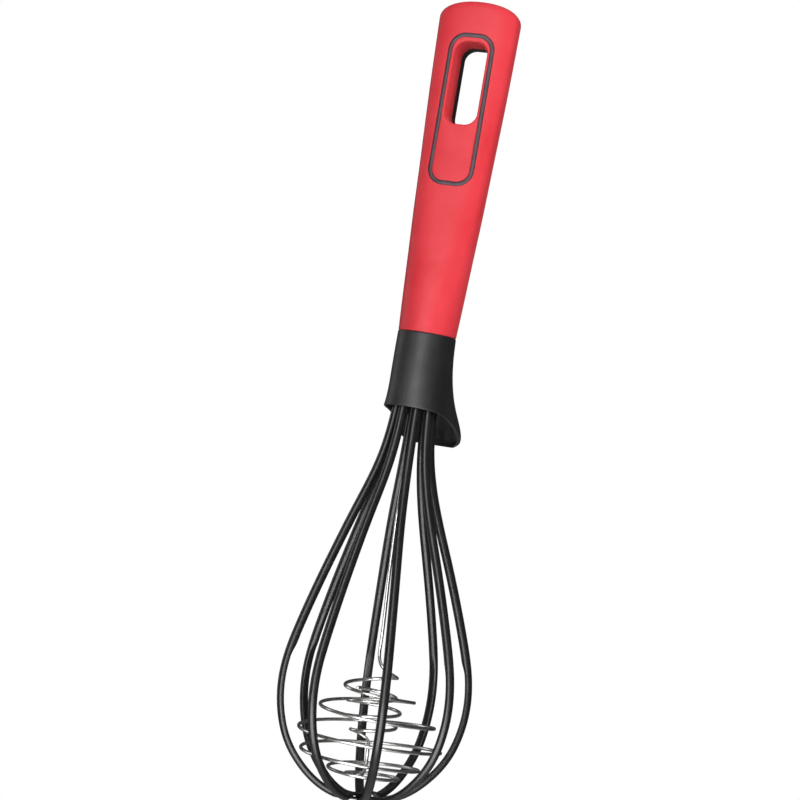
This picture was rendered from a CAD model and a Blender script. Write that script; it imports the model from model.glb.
import math
import bmesh
import bpy
import numpy as np
from mathutils import Matrix, Vector


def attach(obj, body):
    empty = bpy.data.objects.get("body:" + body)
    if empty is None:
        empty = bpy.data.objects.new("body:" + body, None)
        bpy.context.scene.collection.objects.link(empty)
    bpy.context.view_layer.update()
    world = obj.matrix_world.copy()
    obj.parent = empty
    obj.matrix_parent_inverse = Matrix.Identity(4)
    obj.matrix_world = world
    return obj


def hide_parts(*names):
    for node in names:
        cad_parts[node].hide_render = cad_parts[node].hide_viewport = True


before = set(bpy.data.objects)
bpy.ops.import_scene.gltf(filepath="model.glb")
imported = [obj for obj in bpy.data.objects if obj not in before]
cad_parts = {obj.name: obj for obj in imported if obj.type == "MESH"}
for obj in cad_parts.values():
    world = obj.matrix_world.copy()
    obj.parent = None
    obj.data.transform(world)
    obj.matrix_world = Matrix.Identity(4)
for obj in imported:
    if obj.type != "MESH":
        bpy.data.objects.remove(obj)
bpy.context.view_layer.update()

# Balloon whisk. Sizes are millimetres until MM turns them into metres. A height is counted up from
# the tip of the balloon; the frame's origin is where a peg bears on the top of the hanging slot.
MM = 0.001

TOTAL_LENGTH = 303.0
HANG_HEIGHT = 287.0
JOINT_HEIGHT = 176.0
SEAT_HEIGHT = 158.0
REST_HEIGHT = 136.0
SLOT_WIDTH = 12.7
SLOT_LENGTH = 31.4
SLOT_CORNER = 4.6
INLAY_WIDTH = 18.0
INLAY_TOP = 290.3
INLAY_BOTTOM = 232.0
INLAY_BAND = 1.7
INLAY_CORNER = 6.4
GRIP_SKIN = 2.0
PANEL_WIDTH = 19.0
PANEL_LOW = 226.0
PANEL_HIGH = 292.0
PANEL_CORNER = 9.0


# ---- curves and meshes ---------------------------------------------------------------------
class Spline:
    """Smooth curve through values at given places; the end slopes are free unless given."""

    def __init__(self, places, values, start=None, end=None):
        self.places = np.array(places, float)
        self.values = np.array(values, float).reshape(len(places), -1)
        count = len(self.places)
        step = np.diff(self.places)
        slope = np.diff(self.values, axis=0) / step[:, None]
        left = np.zeros((count, count))
        right = np.zeros_like(self.values)
        for i in range(1, count - 1):
            left[i, i - 1:i + 2] = step[i - 1], 2 * (step[i - 1] + step[i]), step[i]
            right[i] = 6 * (slope[i] - slope[i - 1])
        left[0, 0] = left[-1, -1] = 1
        if start is not None:
            left[0, :2] = 2 * step[0], step[0]
            right[0] = 6 * (slope[0] - np.array(start))
        if end is not None:
            left[-1, -2:] = step[-1], 2 * step[-1]
            right[-1] = 6 * (np.array(end) - slope[-1])
        self.bend = np.linalg.solve(left, right)

    def __call__(self, places):
        x = np.atleast_1d(np.array(places, float))
        i = np.clip(np.searchsorted(self.places, x) - 1, 0, len(self.places) - 2)
        step = (self.places[i + 1] - self.places[i])[:, None]
        a = (self.places[i + 1] - x)[:, None] / step
        b = 1 - a
        curve = (a ** 3 - a) * self.bend[i] + (b ** 3 - b) * self.bend[i + 1]
        return a * self.values[i] + b * self.values[i + 1] + curve * step ** 2 / 6


def smooth_table(table):
    """A smooth function of height through (height, value) pairs, level beyond both ends."""
    curve = Spline([row[0] for row in table], [row[1] for row in table])
    return lambda h: curve(np.clip(h, table[0][0], table[-1][0]))[:, 0]


def along_points(points, start=None, end=None):
    """Spline through points, placed by the chords between them."""
    points = np.array(points, float)
    chords = np.linalg.norm(np.diff(points, axis=0), axis=1)
    places = np.concatenate([[0], np.cumsum(chords)])
    return Spline(places, points, start, end)


def even_points(curve, spacing):
    """Points along a spline at even distances."""
    fine = curve(np.linspace(curve.places[0], curve.places[-1], 6000))
    length = np.concatenate([[0], np.cumsum(np.linalg.norm(np.diff(fine, axis=0), axis=1))])
    count = max(2, int(round(length[-1] / spacing)))
    wanted = np.linspace(0, length[-1], count + 1)
    return np.stack([np.interp(wanted, length, fine[:, k]) for k in range(fine.shape[1])], 1)


def smooth_step(value):
    t = np.clip(value, 0, 1)
    return t * t * (3 - 2 * t)


def place(points):
    """Millimetres with heights from the tip, to metres in the frame."""
    points = np.array(points, float)
    return (points - np.array([0, 0, HANG_HEIGHT])) * MM


def make_piece(name, points, faces, body, nodes, material, sharp_angle=50):
    """A finished piece that rides on a body and stands in for the named nodes."""
    mesh = bpy.data.meshes.new(name)
    mesh.from_pydata(place(points).tolist(), [], faces)
    mesh.validate()
    piece = bpy.data.objects.new(name, mesh)
    bpy.context.scene.collection.objects.link(piece)
    tidy_mesh(mesh, sharp_angle)
    mesh.materials.append(material)
    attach(piece, body)
    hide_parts(*nodes)
    return piece


def tidy_mesh(mesh, sharp_angle):
    """Joins points that coincide, turns the faces outwards and shades them smooth."""
    work = bmesh.new()
    work.from_mesh(mesh)
    bmesh.ops.remove_doubles(work, verts=work.verts, dist=1e-6)
    bmesh.ops.dissolve_degenerate(work, edges=work.edges, dist=1e-7)
    bmesh.ops.recalc_face_normals(work, faces=work.faces)
    work.to_mesh(mesh)
    work.free()
    mesh.shade_smooth()
    mesh.set_sharp_from_angle(angle=math.radians(sharp_angle))


def ring_faces(rows, columns, closed_rows=False):
    """Four-sided faces between neighbouring rings of points."""
    faces = []
    for i in range(rows if closed_rows else rows - 1):
        a = i * columns
        b = (i + 1) % rows * columns
        for j in range(columns):
            k = (j + 1) % columns
            faces.append((a + j, a + k, b + k, b + j))
    return faces


# ---- handle --------------------------------------------------------------------------------
# Height, half width, depth at the front, depth at the back.
HANDLE_SECTIONS = [(176, 10.85, 10.75, 10.75), (190, 11.6, 9.65, 10.85), (205, 12.25, 8.25, 10.95),
                   (222, 13.05, 6.95, 11.05), (238, 13.65, 6.15, 11.15), (252, 14.25, 5.75, 11.15),
                   (266, 14.8, 5.55, 11.15), (281, 15.25, 5.45, 11.15), (296, 15.6, 5.35, 11.05)]
handle_curve = Spline([row[0] for row in HANDLE_SECTIONS], [row[1:] for row in HANDLE_SECTIONS])
CAP_START = 296.0
CAP_TOP = TOTAL_LENGTH - 0.05       # a hair inside the CAD handle, as the sections are
CAP_RISE_POWER = 2.2
CAP_WIDTH_POWER = 2.4
CAP_DEPTH_POWER = 5
END_SQUARENESS = 2.15               # of the handle's section at the collar
SQUARENESS_GAIN = 0.55              # added to it over SQUARENESS_RUN of height
SQUARENESS_RUN = 60
SEAM_ROUND = 0.45


def handle_sizes(h, inset):
    """Half width, front depth, back depth and squareness of the handle's level section."""
    h = np.asarray(h, float)
    width, front, back = handle_curve(np.clip(h, JOINT_HEIGHT, CAP_START)).T
    rise = CAP_TOP - CAP_START - inset
    up = np.clip((h - CAP_START) / rise, 0, 1)
    narrowed = (1 - up ** CAP_RISE_POWER) ** (1 / CAP_WIDTH_POWER)
    kept = (1 - up ** CAP_DEPTH_POWER) ** (1 / CAP_DEPTH_POWER)
    from_end = np.clip(h - JOINT_HEIGHT, 0, SEAM_ROUND)
    rounding = SEAM_ROUND - np.sqrt(SEAM_ROUND ** 2 - (SEAM_ROUND - from_end) ** 2)
    square = END_SQUARENESS + SQUARENESS_GAIN * smooth_step((h - JOINT_HEIGHT) / SQUARENESS_RUN)
    shrink = inset + rounding
    return (width - shrink) * narrowed, (front - shrink) * kept, (back - shrink) * kept, square


def handle_y(outline, side, inset=0.0):
    """Front (side -1) or back (side 1) of the handle behind each point of an outline."""
    width, front, back, square = handle_sizes(outline[:, 1], inset)
    across = np.clip(np.abs(outline[:, 0]) / np.maximum(width, 1e-6), 0, 1)
    depth = back if side > 0 else front
    return side * depth * (1 - across ** square) ** (1 / square)


SLOT_LOW = HANG_HEIGHT - SLOT_LENGTH
SIDE_LOW = SLOT_LOW + SLOT_CORNER
SIDE_HIGH = HANG_HEIGHT - SLOT_CORNER
CORE_SHOWS_FROM = 6.2       # behind this depth the slot's wall is the black core
SIDE_STEPS = 24             # points of every half outline beside the slot's straight side


def run(a, b, steps):
    """Points on a straight line from a up to, but without, b."""
    return np.linspace(a, b, steps, endpoint=False) if steps else np.zeros((0, 2))


def arc(centre, radius, first, last, steps):
    """Points on an arc from one angle up to, but without, another, in degrees."""
    turn = np.radians(np.linspace(first, last, steps, endpoint=False))
    return np.stack([centre[0] + radius * np.cos(turn), centre[1] + radius * np.sin(turn)], 1)


def rounded_box(width, low, high, corner, lower, upper, grow=0.0):
    """Right half of a rounded rectangle, bottom to top; lower and upper share out its points."""
    x = width / 2 - corner
    r = corner + grow
    parts = [run((0, low - grow), (x, low - grow), lower[0]),
             arc((x, low + corner), r, -90, 0, lower[1]),
             run((x + r, low + corner), (x + r, SIDE_LOW), lower[2]),
             run((x + r, SIDE_LOW), (x + r, SIDE_HIGH), SIDE_STEPS),
             run((x + r, SIDE_HIGH), (x + r, high - corner), upper[0]),
             arc((x, high - corner), r, 0, 90, upper[1]),
             run((x, high + grow), (0, high + grow), upper[2]),
             np.array([[0, high + grow]])]
    return np.concatenate(parts)


def slot_outline(grow=0.0):
    return rounded_box(SLOT_WIDTH, SLOT_LOW, HANG_HEIGHT, SLOT_CORNER, (14, 58, 0), (0, 28, 12), grow)


def inlay_outline(inner, grow=0.0):
    """The inner or outer edge of the inlay line, moved outwards by grow."""
    inset = INLAY_BAND if inner else 0
    return rounded_box(INLAY_WIDTH - 2 * inset, INLAY_BOTTOM + inset, INLAY_TOP - inset,
                       INLAY_CORNER - inset, (14, 22, 36), (4, 24, 12), grow)


def panel_outline(grow=0.0):
    return rounded_box(PANEL_WIDTH, PANEL_LOW, PANEL_HIGH, PANEL_CORNER, (10, 26, 36), (2, 26, 12), grow)


def handle_outline(inset=0.0, lowest=JOINT_HEIGHT):
    """Right half of the handle's outline seen from the front, bottom middle to top middle."""
    end_width = float(handle_sizes([lowest], inset)[0][0])
    turn = np.linspace(math.pi / 2, 0, 24, endpoint=False)
    bottom = np.stack([end_width * np.cos(turn) ** 0.9, np.full(24, lowest)], 1)
    heights = np.concatenate([np.linspace(lowest, lowest + 3, 8, endpoint=False),
                              np.linspace(lowest + 3, SIDE_LOW, 40, endpoint=False),
                              np.linspace(SIDE_LOW, SIDE_HIGH, SIDE_STEPS, endpoint=False),
                              np.linspace(SIDE_HIGH, CAP_START, 8, endpoint=False)])
    side = np.stack([handle_sizes(heights, inset)[0], heights], 1)
    rise = CAP_TOP - CAP_START - inset
    widest = float(handle_sizes([CAP_START], inset)[0][0])
    turn = np.linspace(0, math.pi / 2, 32, endpoint=False)
    cap = np.stack([widest * np.cos(turn) ** (2 / CAP_WIDTH_POWER),
                    CAP_START + rise * np.sin(turn) ** (2 / CAP_RISE_POWER)], 1)
    return np.concatenate([bottom, side, cap, [[0, CAP_START + rise]]])


def full_ring(outline, y):
    """A whole ring of points from the right half of an outline and the depth at each point."""
    right = np.stack([outline[:, 0], y, outline[:, 1]], 1)
    left = right[-2:0:-1] * np.array([-1, 1, 1])
    return np.concatenate([right, left])


def make_grip(material):
    """The red grip as one closed skin: slot wall, front, back, panel edge and inner side."""
    rim = 0.85          # rounding of the slot's front edge
    lip = 0.25          # rounding where the grip meets the core in the slot
    soft = 0.3          # rounding of the inlay groove's edges
    groove = 0.5
    rings = []

    def add(outline, y):
        rings.append(full_ring(outline, y))

    flat = np.ones(len(slot_outline()))
    for turn in np.radians([90, 60, 30, 0]):
        add(slot_outline(lip * math.sin(turn)), flat * (CORE_SHOWS_FROM - lip * math.cos(turn)))
    wall = slot_outline()
    front = handle_y(wall, -1) + rim
    for share in (0.15, 0.35, 0.55, 0.75, 0.9):
        add(wall, (CORE_SHOWS_FROM - lip) * (1 - share) + front * share)
    for turn in np.radians([0, 14, 28, 42, 56, 70, 82, 90]):
        edge = slot_outline(rim * (1 - math.cos(turn)))
        add(edge, handle_y(edge, -1) + rim * (1 - math.sin(turn)))
    start = slot_outline(rim)
    finish = inlay_outline(True, -soft + 0.02)
    for share in np.linspace(0.1, 1, 10):
        land = start * (1 - share) + finish * share
        add(land, handle_y(land, -1))
    for grow, depth in ((-0.05, 0.03), (0, 0.12), (0.02, groove)):
        edge = inlay_outline(True, grow)
        add(edge, handle_y(edge, -1) + depth)
    for grow, depth in ((-0.02, groove), (0, 0.12), (0.05, 0.03), (soft, 0.0)):
        edge = inlay_outline(False, grow)
        add(edge, handle_y(edge, -1) + depth)
    start = inlay_outline(False, soft)
    finish = handle_outline()
    for turn in np.radians(np.linspace(0, 90, 46)[1:]):
        skin = start + (finish - start) * math.sin(turn)
        add(skin, handle_y(skin, -1))
    add(finish, 0 * finish[:, 1])
    start = panel_outline(0.18)
    for turn in np.radians(np.linspace(90, 0, 44)):
        skin = start + (finish - start) * math.sin(turn)
        add(skin, handle_y(skin, 1))
    for grow, depth in ((0.06, 0.05), (0.0, 0.18), (0.0, GRIP_SKIN)):
        edge = panel_outline(grow)
        add(edge, handle_y(edge, 1) - depth)
    start = panel_outline(0.3)
    finish = handle_outline(GRIP_SKIN, JOINT_HEIGHT + 1.5)
    for turn in np.radians(np.linspace(0, 90, 14)):
        skin = start + (finish - start) * math.sin(turn)
        add(skin, handle_y(skin, 1, GRIP_SKIN))
    add(finish, 0 * finish[:, 1])
    start = slot_outline(1.6)
    for turn in np.radians(np.linspace(90, 0, 14)):
        skin = start + (finish - start) * math.sin(turn)
        add(skin, handle_y(skin, -1, GRIP_SKIN))
    add(start, flat * CORE_SHOWS_FROM)
    columns = len(rings[0])
    faces = ring_faces(len(rings), columns, closed_rows=True)
    return make_piece("grip", np.concatenate(rings), faces, "whisk", ["grip_overmould"],
                      material)


def make_inlay(material):
    """The grey line: a shallow band that lies a little below the grip's surface."""
    rings = []
    profile = [(0.0, 0.48), (0.0, 0.36), (0.06, 0.26), (0.2, 0.16), (0.38, 0.09), (0.55, 0.06),
               (0.72, 0.08), (0.88, 0.15), (0.97, 0.25), (1.0, 0.36), (1.0, 0.48)]
    inner = inlay_outline(True, 0.05)
    outer = inlay_outline(False, -0.05)
    for share, depth in profile:
        line = inner * (1 - share) + outer * share
        rings.append(full_ring(line, handle_y(line, -1) + depth))
    faces = ring_faces(len(rings), len(rings[0]), closed_rows=True)
    return make_piece("inlay_line", np.concatenate(rings), faces, "whisk",
                      ["front_inlay"], material, 35)


# ---- collar --------------------------------------------------------------------------------
# Height, half width, depth at the front, depth at the back, squareness at the back.
COLLAR_SECTIONS = [(136, 12.5, 10.35, 21.65, 4.6), (137.5, 13.5, 10.35, 21.95, 5.2),
                   (139.5, 13.85, 10.35, 21.95, 5.6), (143, 13.05, 10.35, 21.75, 5.6),
                   (146.4, 12.05, 10.35, 20.75, 5.2), (150, 11.35, 10.45, 18.75, 4.5),
                   (153.5, 11.05, 10.55, 16.95, 3.7), (157, 10.95, 10.65, 15.15, 3.2),
                   (160.8, 10.95, 10.75, 13.35, 2.8), (164.6, 10.95, 10.75, 12.15, 2.5),
                   (168.3, 10.95, 10.75, 11.35, 2.3), (176, 10.85, 10.75, 10.75, 2.15)]
FRONT_SQUARENESS = 2.15
COLLAR_TURN = 8.0
COLLAR_WALL = 1.9
RIM_WALL = 1.15
HOLDER_RADIUS = 8.9
SOCKET_TOP = 172.05
RIM_LINE = [(-30, 148.4), (-11, 147.8), (-4, 147.2), (3, 146.0), (9.5, 144.0), (14, 141.6),
            (17.5, 139.0), (20, 136.0), (23, 130)]
collar_curve = Spline([row[0] for row in COLLAR_SECTIONS], [row[1:] for row in COLLAR_SECTIONS])
rim_curve = smooth_table(RIM_LINE)


def collar_point(turn, h, inset):
    """Where the collar's side is at a turn about the axis and a height, before COLLAR_TURN."""
    width, front, back, square = collar_curve(np.clip(h, REST_HEIGHT, JOINT_HEIGHT)).T
    behind = np.sin(turn) > 0
    depth = np.where(behind, back, front) - inset
    square = np.where(behind, square, FRONT_SQUARENESS)
    across = np.abs(np.cos(turn)) / (width - inset)
    along = np.abs(np.sin(turn)) / depth
    radius = (across ** square + along ** square) ** (-1 / square)
    return np.stack([radius * np.cos(turn), radius * np.sin(turn), h], 1)


def rim_heights(turn):
    """Height of the collar's rim at each turn: the side line of the rim, cut off level at the rest."""
    low = np.full(len(turn), REST_HEIGHT - 2)
    high = np.full(len(turn), RIM_LINE[0][1] + 4)
    for _ in range(40):
        middle = (low + high) / 2
        outside = middle > rim_curve(collar_point(turn, middle, 0)[:, 1])
        high = np.where(outside, middle, high)
        low = np.where(outside, low, middle)
    return np.maximum(high, REST_HEIGHT)


def make_collar(material):
    """The collar as one closed skin: top, outside, rim, inside and the holder's socket."""
    columns = 240
    turn = np.linspace(0, 2 * math.pi, columns, endpoint=False)
    rim = rim_heights(turn)
    about = -math.radians(COLLAR_TURN)
    edge = 0.35
    rings = []
    level = np.ones(columns)

    def add(points):
        x, y, h = points.T
        rings.append(np.stack([x * math.cos(about) - y * math.sin(about),
                               x * math.sin(about) + y * math.cos(about), h], 1))

    def disc(radius, h):
        return np.stack([radius * np.cos(turn), radius * np.sin(turn), level * h], 1)

    add(disc(0.6, JOINT_HEIGHT))
    add(disc(6.0, JOINT_HEIGHT))
    for lean in np.radians([0, 22, 45, 68, 90]):
        h = level * (JOINT_HEIGHT - SEAM_ROUND * (1 - math.cos(lean)))
        add(collar_point(turn, h, SEAM_ROUND * (1 - math.sin(lean))))
    top = JOINT_HEIGHT - SEAM_ROUND
    for share in np.linspace(0, 1, 40)[1:]:
        add(collar_point(turn, top + (rim + edge - top) * share, 0))
    for lean in np.radians([22, 45, 68, 90, 112, 135, 158, 180]):
        h = rim + edge * (1 - math.sin(lean))
        outer = collar_point(turn, h, 0)
        inner = collar_point(turn, h, RIM_WALL)
        share = (1 - math.cos(lean)) / 2
        add(outer * (1 - share) + inner * share)
    for share in np.linspace(0, 1, 24)[1:]:
        h = rim + edge + (SEAT_HEIGHT - rim - edge) * share
        add(collar_point(turn, h, RIM_WALL + (COLLAR_WALL - RIM_WALL) * smooth_step(2 * share)))
    add(disc(HOLDER_RADIUS + 0.01, SEAT_HEIGHT))
    add(disc(HOLDER_RADIUS + 0.01, SOCKET_TOP))
    add(disc(0.6, SOCKET_TOP))
    faces = ring_faces(len(rings), columns)
    faces.append(tuple(range(columns)))
    last = (len(rings) - 1) * columns
    faces.append(tuple(reversed(range(last, last + columns))))
    return make_piece("collar_shell", np.concatenate(rings), faces, "whisk",
                      ["collar"], material)


# ---- lean of the head ------------------------------------------------------------------------
HEAD_LEAN = math.radians(2.66)
LEAN_HIGH = 120.0
LEAN_LOW = 90.0


def leaned(points):
    """Moves points of the upright head to where the lean of the head takes them."""
    x, y, h = np.array(points, float).T
    down = LEAN_HIGH - h
    bend = LEAN_HIGH - LEAN_LOW
    t = np.clip(down / bend, 0, 1)
    beyond = np.maximum(down - bend, 0)
    angle = HEAD_LEAN * smooth_step(t)
    middle_x = HEAD_LEAN * bend * (t ** 3 - t ** 4 / 2) + beyond * math.sin(HEAD_LEAN)
    middle_h = np.where(down > bend, LEAN_LOW - beyond * math.cos(HEAD_LEAN), h)
    return np.stack([middle_x + x * np.cos(angle), y, middle_h + x * np.sin(angle)], 1)


# ---- strands -------------------------------------------------------------------------------
STRAND_PITCH_RADIUS = 6.4
STRAND_HALF = 1.7
HALF_LOOP = [(STRAND_PITCH_RADIUS, 157), (6.85, 147), (8.6, 131.5), (11.4, 120), (15.1, 109),
             (23.2, 86.5), (30.5, 64), (33.4, 53), (34.7, 41.5), (33.4, 30), (29.3, 19.2), (23.9, 12),
             (15.9, 5.4), (7.8, 2.3), (0, 1.7)]
FLAT_HEIGHT = 54.0
CROSSING_THICKNESS = 1.0
CROSSING_GAP = 0.05
CROSSING_REACH = 5.2        # half the length over which the loops are thinned at the tip,
CROSSING_RAMP = 5.0         # and the length over which they thicken again
STRAND_END = 171            # height of the loops' ends in the holder
FLAT_DEPTH = 0.7            # how much the flat takes off a strand's inner side
FLAT_RAMP = 6.0             # height over which the flat begins
LOOP_TURNS = (-67.5, 22.5, -22.5, 67.5)
STRAND_SPACING = 1.0


def near_tip(radius, h):
    """1 where the loops cross at the tip, 0 elsewhere."""
    return np.where(h < 40, 1 - smooth_step((np.abs(radius) - CROSSING_REACH) / CROSSING_RAMP), 0)


def make_strand(number, turn_degrees, material):
    """One loop as a closed tube that follows its own plane and then leans with the head."""
    nest = (CROSSING_THICKNESS + CROSSING_GAP) * number + CROSSING_THICKNESS / 2 - HALF_LOOP[-1][1]
    curve = along_points(HALF_LOOP, start=(0, -1), end=(-1, 0))
    half = even_points(curve, STRAND_SPACING)
    half[:, 1] += nest * near_tip(half[:, 0], half[:, 1])
    half = np.concatenate([[(STRAND_PITCH_RADIUS, STRAND_END)], half])
    line = np.concatenate([half, half[-2::-1] * np.array([-1, 1])])
    ahead = np.gradient(line, axis=0)
    ahead[0] = (0, -1)
    ahead[-1] = (0, 1)
    ahead /= np.linalg.norm(ahead, axis=1)[:, None]
    outward = np.stack([-ahead[:, 1], ahead[:, 0]], 1)
    flat = smooth_step((FLAT_HEIGHT + FLAT_RAMP / 2 - line[:, 1]) / FLAT_RAMP)
    thin = near_tip(line[:, 0], line[:, 1])
    outer = STRAND_HALF * (1 - thin) + CROSSING_THICKNESS / 2 * thin
    inner = (STRAND_HALF - FLAT_DEPTH * flat) * (1 - thin) + CROSSING_THICKNESS / 2 * thin
    columns = 36
    angle = np.linspace(0, 2 * math.pi, columns, endpoint=False)
    rings = []
    about = math.radians(turn_degrees)
    for i in range(len(line)):
        across = STRAND_HALF * np.cos(angle)
        rise = np.sin(angle)
        inward = np.sign(rise) * np.abs(rise) ** (1 - 0.45 * flat[i])
        along = np.where(rise >= 0, outer[i] * rise, inner[i] * inward)
        radius = line[i, 0] + outward[i, 0] * along
        h = line[i, 1] + outward[i, 1] * along
        x = radius * math.cos(about) - across * math.sin(about)
        y = radius * math.sin(about) + across * math.cos(about)
        rings.append(leaned(np.stack([x, y, h], 1)))
    faces = ring_faces(len(rings), columns)
    faces.append(tuple(range(columns)))
    last = (len(rings) - 1) * columns
    faces.append(tuple(reversed(range(last, last + columns))))
    name = "strand_loop_%d" % (number + 1)
    return make_piece("nylon_loop_%d" % (number + 1), np.concatenate(rings), faces, "whisk",
                      [name], material, 60)


# ---- beater --------------------------------------------------------------------------------
COIL_START = 16.5           # turn about the axis where the outer coil begins, in degrees
WIRE_RADIUS = 0.65
WIRE_SPACING = 0.55
# Radius and height of the wire, one entry per half turn: the outer coil, then the inner one.
COIL = [(7.5, 47.4), (11.3, 43.1), (15.0, 39.0), (19.6, 35.0), (23.6, 30.4), (26.6, 26.0), (26.9, 21.8),
        (24.9, 17.9), (19.5, 14.4), (14.0, 12.0), (12.6, 10.4)]
BARREL = [(7.2, 26.6), (9.4, 29.0), (10.4, 31.6), (10.3, 34.4), (9.6, 37.2), (8.2, 39.8), (6.4, 42.2)]
SAMPLES_PER_HALF_TURN = 6


def polar(radius, degrees, h):
    return (radius * math.cos(math.radians(degrees)), radius * math.sin(math.radians(degrees)), h)


def spread(table, start_turn):
    """Points on a coil whose radius and height pass through table, half a turn per entry."""
    points = []
    for i in range((len(table) - 1) * SAMPLES_PER_HALF_TURN + 1):
        place_along = i / SAMPLES_PER_HALF_TURN
        low = min(int(place_along), len(table) - 2)
        f = place_along - low
        p0 = table[max(0, low - 1)]
        p1 = table[low]
        p2 = table[low + 1]
        p3 = table[min(len(table) - 1, low + 2)]
        pair = []
        for k in (0, 1):
            a = 2 * p1[k] + (p2[k] - p0[k]) * f
            b = (2 * p0[k] - 5 * p1[k] + 4 * p2[k] - p3[k]) * f * f
            c = (3 * p1[k] - p0[k] - 3 * p2[k] + p3[k]) * f ** 3
            pair.append((a + b + c) / 2)
        points.append(polar(pair[0], start_turn + 180 * place_along, pair[1]))
    return points


def beater_line():
    """Points along the wire: stem, outer coil, the way back in and up the axis, inner coil."""
    stem = [(0, 0, h) for h in (SEAT_HEIGHT + 10, 160, 150, 140, 125, 110, 95, 80, 60)]
    stem += [(0.05, -0.05, 54.5), polar(3.0, COIL_START - 55, 51.0)]
    turned = COIL_START + 180 * (len(COIL) - 1)
    inward = [polar(radius, turned + step, h) for radius, h, step in
              ((11.6, 10.1, 45), (10.2, 10.0, 90), (8.4, 10.1, 140), (6.2, 10.3, 195),
               (3.4, 10.9, 240), (0.9, 13.4, 262))]
    rise = [(0, 0, 17.0), (0, 0, 20.4), polar(2.6, COIL_START + 110, 23.4)]
    return leaned(stem + spread(COIL, COIL_START) + inward + rise + spread(BARREL, COIL_START + 180))


def make_beater(material):
    """The whole wire as one tube, with a small dome on its free end."""
    line = even_points(along_points(beater_line()), WIRE_SPACING)
    columns = 14
    angle = np.linspace(0, 2 * math.pi, columns, endpoint=False)
    ahead = np.gradient(line, axis=0)
    ahead /= np.linalg.norm(ahead, axis=1)[:, None]
    side = np.array([1.0, 0, 0])
    rings = []
    last_row = len(line) - 1
    for i in range(len(line)):
        side = side - ahead[i] * side.dot(ahead[i])
        side /= np.linalg.norm(side)
        other = np.cross(ahead[i], side)
        round_it = np.outer(np.cos(angle), side) + np.outer(np.sin(angle), other)
        rings.append(line[i] + WIRE_RADIUS * round_it)
    for forward, narrow in ((0.2, 0.93), (0.35, 0.75), (0.42, 0.4)):
        rings.append(line[-1] + ahead[-1] * forward + narrow * (rings[last_row] - line[-1]))
    faces = ring_faces(len(rings), columns)
    faces.append(tuple(range(columns)))
    last = (len(rings) - 1) * columns
    faces.append(tuple(reversed(range(last, last + columns))))
    nodes = [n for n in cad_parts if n.startswith("beater_") and n != "beater_ferrule"]
    return make_piece("beater_coil", np.concatenate(rings), faces, "beater", nodes,
                      material, 60)


# ---- materials -----------------------------------------------------------------------------
class Surface:
    """A procedural material with a few calls that add nodes in object space."""

    def __init__(self, name, **sockets):
        self.material = bpy.data.materials.new(name)
        self.material.use_nodes = True
        self.nodes = self.material.node_tree.nodes
        self.links = self.material.node_tree.links
        self.shader = self.nodes["Principled BSDF"]
        for socket, value in sockets.items():
            self.shader.inputs[socket.replace("_", " ")].default_value = value
        self.place = self.nodes.new("ShaderNodeTexCoord").outputs["Object"]

    def noise(self, scale, detail=2.0, stretch=None):
        source = self.place
        if stretch:
            mapping = self.nodes.new("ShaderNodeMapping")
            mapping.inputs["Scale"].default_value = stretch
            self.links.new(source, mapping.inputs["Vector"])
            source = mapping.outputs["Vector"]
        node = self.nodes.new("ShaderNodeTexNoise")
        node.inputs["Scale"].default_value = scale
        node.inputs["Detail"].default_value = detail
        self.links.new(source, node.inputs["Vector"])
        return node.outputs["Fac"]

    def ramp(self, source, stops):
        node = self.nodes.new("ShaderNodeValToRGB")
        while len(node.color_ramp.elements) < len(stops):
            node.color_ramp.elements.new(0.5)
        for element, (position, colour) in zip(node.color_ramp.elements, stops):
            element.position = position
            element.color = (*colour, 1)
        self.links.new(source, node.inputs["Fac"])
        return node.outputs["Color"]

    def spread_to(self, source, socket, low, high):
        """Turns a noise of about 0.3 to 0.7 into a range on one of the shader's sockets."""
        node = self.nodes.new("ShaderNodeMapRange")
        node.inputs["From Min"].default_value = 0.3
        node.inputs["From Max"].default_value = 0.7
        node.inputs["To Min"].default_value = low
        node.inputs["To Max"].default_value = high
        self.links.new(source, node.inputs["Value"])
        self.links.new(node.outputs["Result"], self.shader.inputs[socket])

    def bumps(self, layers):
        """Bump from (height source, strength, distance in metres) layers, one over the other."""
        below = None
        for source, strength, distance in layers:
            node = self.nodes.new("ShaderNodeBump")
            node.inputs["Strength"].default_value = strength
            node.inputs["Distance"].default_value = distance
            self.links.new(source, node.inputs["Height"])
            if below is not None:
                self.links.new(below, node.inputs["Normal"])
            below = node.outputs["Normal"]
        self.links.new(below, self.shader.inputs["Normal"])

    def colour(self, source):
        self.links.new(source, self.shader.inputs["Base Color"])


def red_grip():
    """Soft-touch red with a fine grain and a slight cloudiness."""
    surface = Surface("soft_touch_red", Sheen_Weight=0.06, Sheen_Roughness=0.5, Specular_IOR_Level=0.16)
    cloud = surface.noise(55, 3)
    surface.colour(surface.ramp(cloud, [(0.3, (0.74, 0.036, 0.050)), (0.7, (0.82, 0.054, 0.071))]))
    surface.spread_to(surface.noise(420, 3), "Roughness", 0.40, 0.52)
    surface.bumps([(surface.noise(2600, 2), 0.16, 0.00005), (surface.noise(90, 2), 0.10, 0.0002)])
    return surface.material


def grey_inlay():
    """Matt dark grey with a touch of the red round it."""
    surface = Surface("inlay_grey", Specular_IOR_Level=0.4)
    cloud = surface.noise(240, 3)
    surface.colour(surface.ramp(cloud, [(0.3, (0.050, 0.030, 0.038)), (0.7, (0.080, 0.052, 0.064))]))
    surface.spread_to(surface.noise(700, 3), "Roughness", 0.45, 0.6)
    surface.bumps([(surface.noise(3000, 2), 0.25, 0.00005)])
    return surface.material


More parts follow.
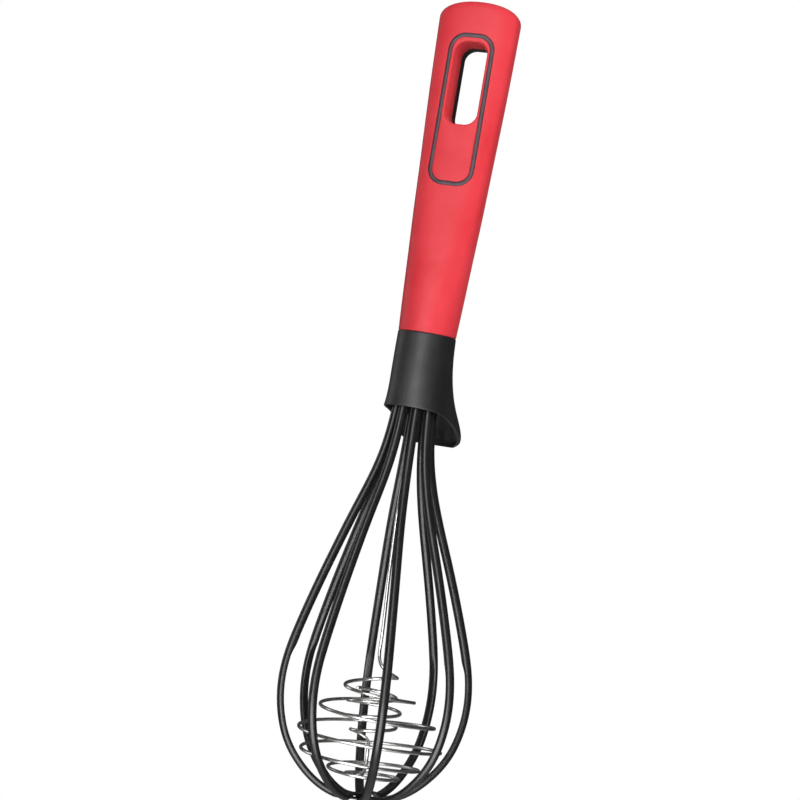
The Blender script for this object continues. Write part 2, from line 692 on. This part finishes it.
def black_nylon(name, dark, light, rough_low, rough_high, grain, stretch=None):
    surface = Surface(name, Specular_IOR_Level=0.5)
    cloud = surface.noise(80, 3)
    surface.colour(surface.ramp(cloud, [(0.3, dark), (0.7, light)]))
    surface.spread_to(surface.noise(600, 3, stretch), "Roughness", rough_low, rough_high)
    surface.bumps([(surface.noise(grain, 2, stretch), 0.10, 0.00003),
                   (surface.noise(130, 2), 0.08, 0.0001)])
    return surface.material


def bright_steel(name, rough_low, rough_high):
    """Steel with fine marks drawn out along the wire or pin."""
    surface = Surface(name, Metallic=1.0)
    cloud = surface.noise(160, 3)
    surface.colour(surface.ramp(cloud, [(0.3, (0.52, 0.51, 0.50)), (0.7, (0.66, 0.65, 0.64))]))
    surface.spread_to(surface.noise(900, 4, (1, 1, 6)), "Roughness", rough_low, rough_high)
    surface.bumps([(surface.noise(2400, 3, (1, 1, 8)), 0.08, 0.00003)])
    return surface.material


# ---- making ---------------------------------------------------------------------------------
red = red_grip()
collar_black = black_nylon("collar_nylon_black", (0.010, 0.010, 0.0108), (0.016, 0.016, 0.0172),
                           0.44, 0.54, 2200)
core_black = black_nylon("core_nylon_black", (0.009, 0.009, 0.0096), (0.014, 0.014, 0.015),
                         0.42, 0.54, 1800)
holder_black = black_nylon("holder_nylon_black", (0.006, 0.006, 0.0065), (0.010, 0.010, 0.011),
                           0.5, 0.6, 1500)
strand_black = black_nylon("strand_nylon_black", (0.007, 0.007, 0.008), (0.012, 0.012, 0.0135),
                           0.27, 0.38, 2000, (1, 1, 0.3))
wire_steel = bright_steel("drawn_steel", 0.24, 0.34)
pin_steel = bright_steel("turned_steel", 0.25, 0.38)

make_grip(red)
make_inlay(grey_inlay())
make_collar(collar_black)
for number, turn in enumerate(LOOP_TURNS):
    make_strand(number, turn, strand_black)
make_beater(wire_steel)

for node, material in (("handle_core", core_black), ("strand_holder", holder_black),
                       ("cross_pin", pin_steel), ("beater_ferrule", pin_steel)):
    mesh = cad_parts[node].data
    mesh.materials.clear()
    mesh.materials.append(material)

# ---- camera ---------------------------------------------------------------------------------
CAMERA_TURN = math.radians(16.478)
CAMERA_DISTANCE = 786.9
CAMERA_HEIGHT = 117.37
AIM_HEIGHT = 150.15
AIM_RIGHT = -5.99
ROLL = math.radians(9.549)
LENS = 94.6

camera_data = bpy.data.cameras.new("camera")
camera_data.lens = LENS
camera_data.sensor_width = 36
camera_data.clip_start = 0.01
camera_data.clip_end = 20
camera = bpy.data.objects.new("camera", camera_data)
bpy.context.scene.collection.objects.link(camera)
level_right = Vector((math.cos(CAMERA_TURN), math.sin(CAMERA_TURN), 0))
eye = Vector((CAMERA_DISTANCE * math.sin(CAMERA_TURN), -CAMERA_DISTANCE * math.cos(CAMERA_TURN),
              CAMERA_HEIGHT - HANG_HEIGHT)) * MM
aim = (level_right * AIM_RIGHT + Vector((0, 0, AIM_HEIGHT - HANG_HEIGHT))) * MM
forward = (aim - eye).normalized()
right = forward.cross(Vector((0, 0, 1))).normalized()
up = right.cross(forward)
rolled_right = right * math.cos(ROLL) + up * math.sin(ROLL)
rolled_up = up * math.cos(ROLL) - right * math.sin(ROLL)
turning = Matrix((rolled_right, rolled_up, -forward)).transposed()
camera.matrix_world = Matrix.Translation(eye) @ turning.to_4x4()
bpy.context.scene.camera = camera

# ---- floor and light ------------------------------------------------------------------------
FLOOR_HEIGHT = -900.0
FLOOR_RADIUS = 1400.0
floor_mesh = bpy.data.meshes.new("floor")
floor_points = [(FLOOR_RADIUS * math.cos(t), FLOOR_RADIUS * math.sin(t), FLOOR_HEIGHT)
                for t in np.linspace(0, 2 * math.pi, 96, endpoint=False)]
floor_mesh.from_pydata(place(floor_points).tolist(), [], [tuple(range(96))])
floor = bpy.data.objects.new("floor", floor_mesh)
bpy.context.scene.collection.objects.link(floor)
floor_surface = Surface("pale_floor", Roughness=0.8)
floor_cloud = floor_surface.noise(3, 2)
floor_surface.colour(floor_surface.ramp(floor_cloud, [(0.3, (0.86, 0.86, 0.86)), (0.7, (0.9, 0.9, 0.9))]))
floor_mesh.materials.append(floor_surface.material)

world = bpy.data.worlds.new("studio")
bpy.context.scene.world = world
world.use_nodes = True
world_nodes = world.node_tree.nodes
world_links = world.node_tree.links
room = world_nodes["Background"]
room.inputs["Color"].default_value = (1, 1, 1, 1)
room.inputs["Strength"].default_value = 0.07
seen = world_nodes.new("ShaderNodeBackground")
seen.inputs["Color"].default_value = (1, 1, 1, 1)
seen.inputs["Strength"].default_value = 1.0
path = world_nodes.new("ShaderNodeLightPath")
mix = world_nodes.new("ShaderNodeMixShader")
world_links.new(path.outputs["Is Camera Ray"], mix.inputs["Fac"])
world_links.new(room.outputs["Background"], mix.inputs[1])
world_links.new(seen.outputs["Background"], mix.inputs[2])
world_links.new(mix.outputs["Shader"], world_nodes["World Output"].inputs["Surface"])


def softbox(name, turn, height, distance, size, power, glossy=True, diffuse=True):
    """Area light at a turn to the right of the camera's side, aimed at the middle of the whisk."""
    data = bpy.data.lights.new(name, "AREA")
    data.shape = "RECTANGLE"
    data.size = size[0]
    data.size_y = size[1]
    data.energy = power
    light = bpy.data.objects.new(name, data)
    bpy.context.scene.collection.objects.link(light)
    angle = CAMERA_TURN + math.radians(turn)
    spot = Vector((distance * math.sin(angle), -distance * math.cos(angle), height))
    middle = Vector((0, 0, (150 - HANG_HEIGHT) * MM))
    light.location = middle + spot
    light.rotation_mode = "QUATERNION"
    light.rotation_quaternion = (-spot).to_track_quat("-Z", "Y")
    light.visible_camera = False
    light.visible_glossy = glossy
    light.visible_diffuse = diffuse


softbox("key_right", 38, 0.25, 1.2, (0.8, 1.2), 12, glossy=False)
softbox("fill_left", -30, 0.1, 1.1, (0.34, 1.3), 7, glossy=False)
softbox("stripe_left", -22, 0.1, 1.1, (0.46, 1.3), 10, diffuse=False)
softbox("low_front", -6, -0.5, 0.7, (0.9, 0.5), 10, diffuse=False)
softbox("edge_left", -112, 0.1, 1.1, (0.3, 1.2), 2.5, diffuse=False)
softbox("top", 10, 1.3, 0.35, (1.0, 0.8), 3)
softbox("rear", 180, 0.5, 1.4, (1.2, 1.2), 12, glossy=False)

bpy.context.scene.view_settings.view_transform = "Standard"
bpy.context.scene.view_settings.look = "None"
